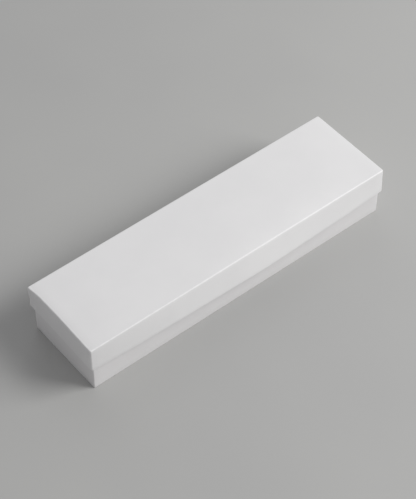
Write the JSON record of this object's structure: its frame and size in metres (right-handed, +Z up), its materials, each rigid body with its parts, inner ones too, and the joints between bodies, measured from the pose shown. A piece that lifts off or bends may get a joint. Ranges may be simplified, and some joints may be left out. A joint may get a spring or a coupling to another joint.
{
  "type": "jewelry gift box",
  "caption": "Long, shallow white gift box for a bracelet or necklace, with a lift-off telescoping lid and a padded, slit insert.",
  "frame": {"origin": "middle of the base's underside, on the surface the box stands on", "axes": "+X along the box to its right-hand end, -Y out of its front, +Z up through the lid"},
  "size_m": [0.21, 0.0644, 0.0344],
  "materials": {
    "white_wrap": "satin",
    "lined_board": "matte",
    "stay_paper": "matte",
    "liner_paper": "matte",
    "white_foam": "matte",
    "white_velvet": "matte"
  },
  "bodies": {
    "base": {"base_board": "lined_board", "base_corner_stay_front_left": "stay_paper", "base_corner_stay_front_right": "stay_paper", "base_corner_stay_back_left": "stay_paper", "base_corner_stay_back_right": "stay_paper", "base_wrap": "white_wrap", "base_floor_liner": "liner_paper"},
    "insert": {"insert_foam": "white_foam", "insert_velvet": "white_velvet"},
    "lid": {"lid_board": "lined_board", "lid_corner_stay_front_left": "stay_paper", "lid_corner_stay_front_right": "stay_paper", "lid_corner_stay_back_left": "stay_paper", "lid_corner_stay_back_right": "stay_paper", "lid_wrap": "white_wrap", "lid_liner": "liner_paper"}
  },
  "joints": [
    {"name": "insert_lift", "type": "slide", "parent": "base", "child": "insert", "axis": [0, 0, 1], "range_m": [0, 0.045]},
    {"name": "lid_lift", "type": "slide", "parent": "insert", "child": "lid", "axis": [0, 0, 1], "range_m": [0, 0.08]}
  ]
}
